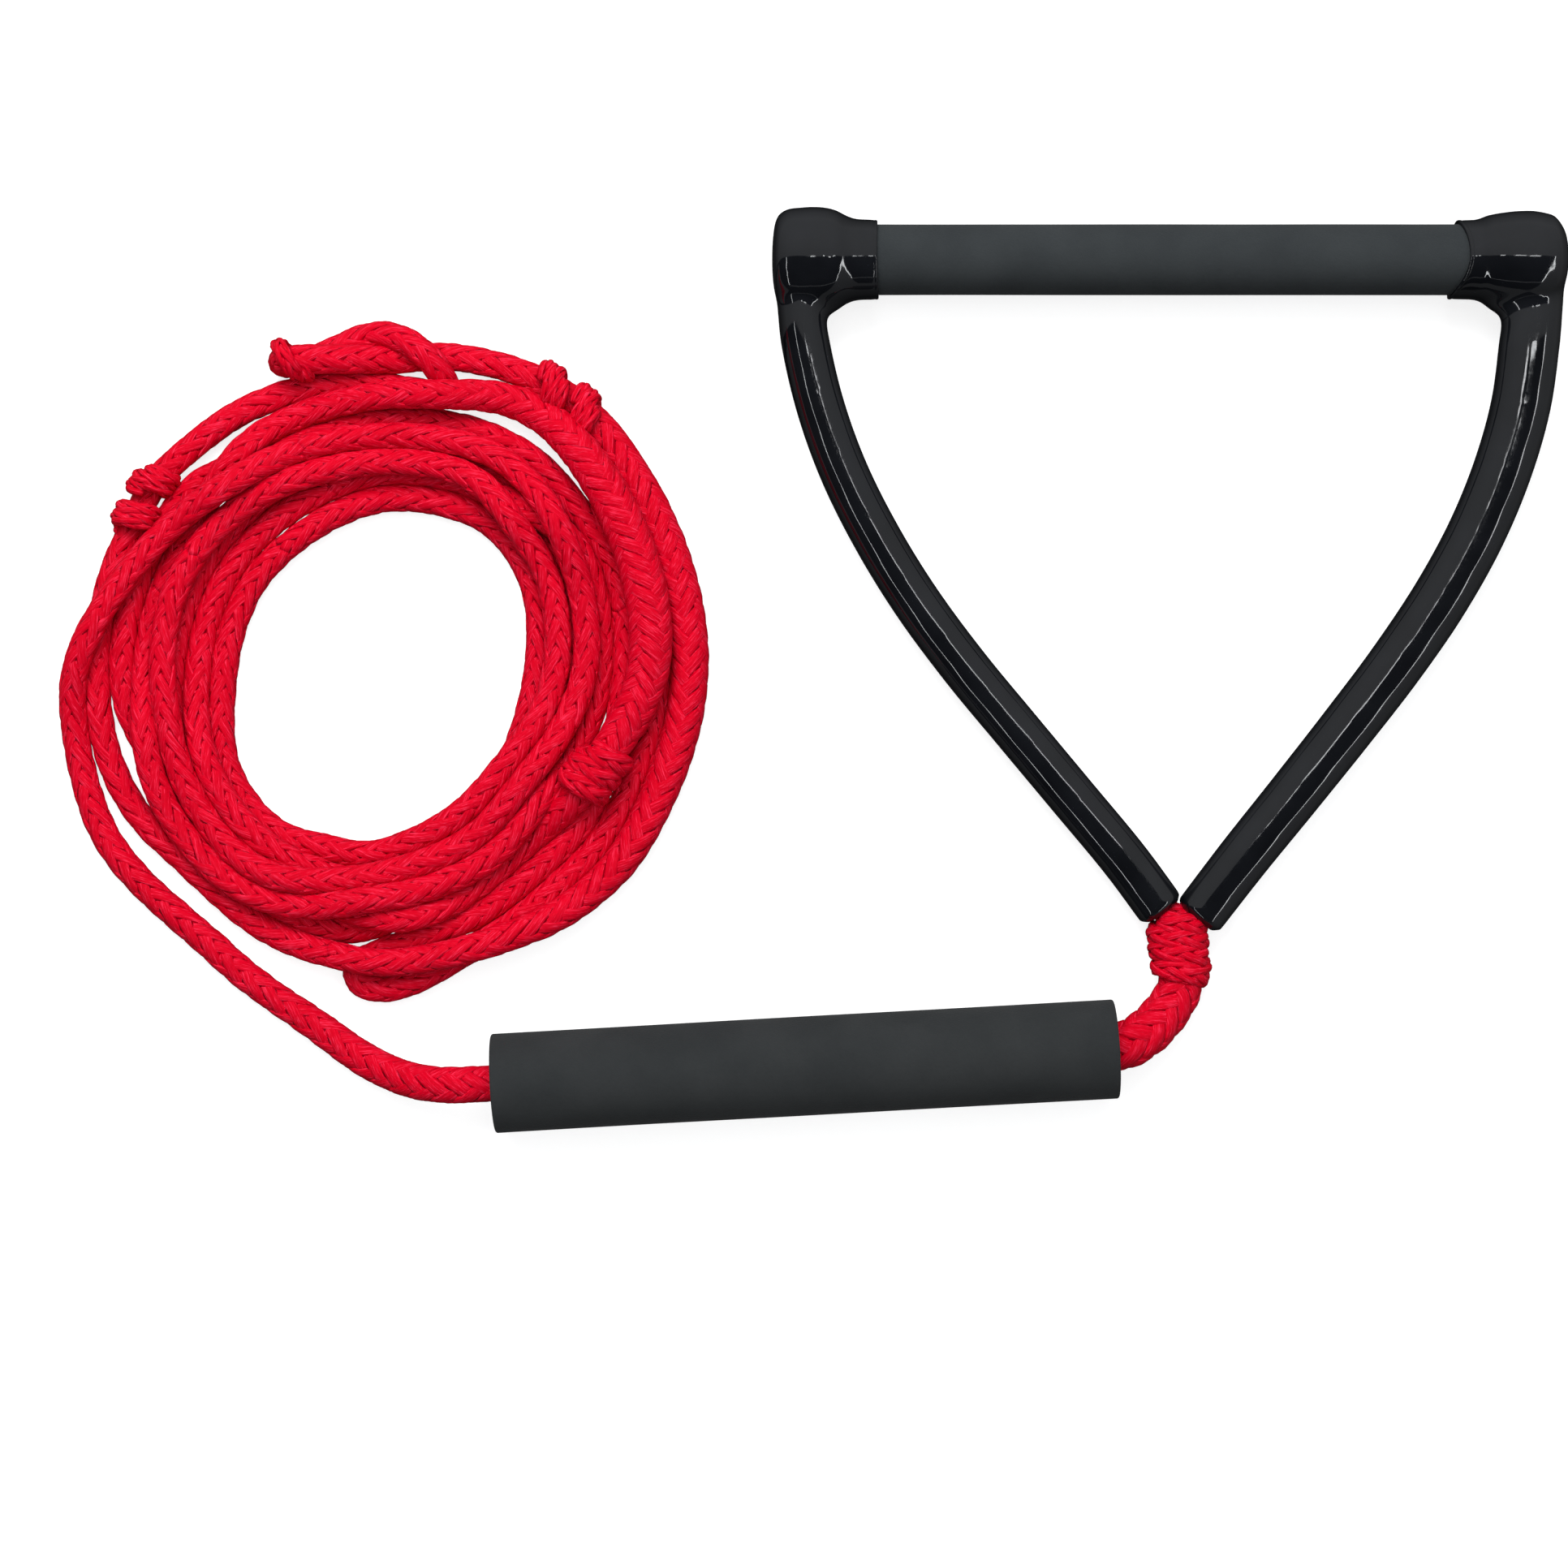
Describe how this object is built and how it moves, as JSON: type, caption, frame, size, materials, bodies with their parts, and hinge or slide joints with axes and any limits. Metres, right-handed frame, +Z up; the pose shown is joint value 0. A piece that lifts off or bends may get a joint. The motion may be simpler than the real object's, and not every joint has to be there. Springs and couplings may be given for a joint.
{
  "type": "tow rope handle",
  "caption": "Triangular tow handle with a foam grip and dipped arms, tied to a coiled braided rope that carries a foam float.",
  "frame": {"origin": "On the ground under the middle of the handle, measured without the rope that leaves its knot", "axes": "+X along the grip towards the right arm, +Y from the knot towards the grip, +Z up off the ground"},
  "size_m": [0.5796, 0.3556, 0.038],
  "materials": {
    "foam": "matte",
    "vinyl": "gloss",
    "rope": "satin",
    "tube_metal": "satin",
    "plug_nylon": "satin"
  },
  "bodies": {
    "rope": {"rope_coil": "rope", "rope_tail": "rope", "lead_rope": "rope"},
    "eye": {"lead_eye": "rope"},
    "handle": {"bridle_knot": "rope", "bridle_rope": "rope", "left_arm_cover": "vinyl", "right_arm_cover": "vinyl", "grip_sleeve": "foam", "grip_tube": "tube_metal", "left_end_plug": "plug_nylon", "right_end_plug": "plug_nylon"},
    "float": {"float": "foam"}
  },
  "joints": [
    {"name": "handle_swing", "type": "hinge", "parent": "rope", "child": "eye", "pos_m": [0.0047, -0.15075, 0.01], "axis": [0, 0, 1], "range_deg": [-40, 12]},
    {"name": "handle_lift", "type": "hinge", "parent": "eye", "child": "handle", "pos_m": [0.0047, -0.15075, 0.01], "axis": [1, 0, 0], "range_deg": [0, 30]},
    {"name": "float_slide", "type": "slide", "parent": "rope", "child": "float", "axis": [0.9985, 0.0555, 0], "range_m": [-0.02, 0]}
  ]
}
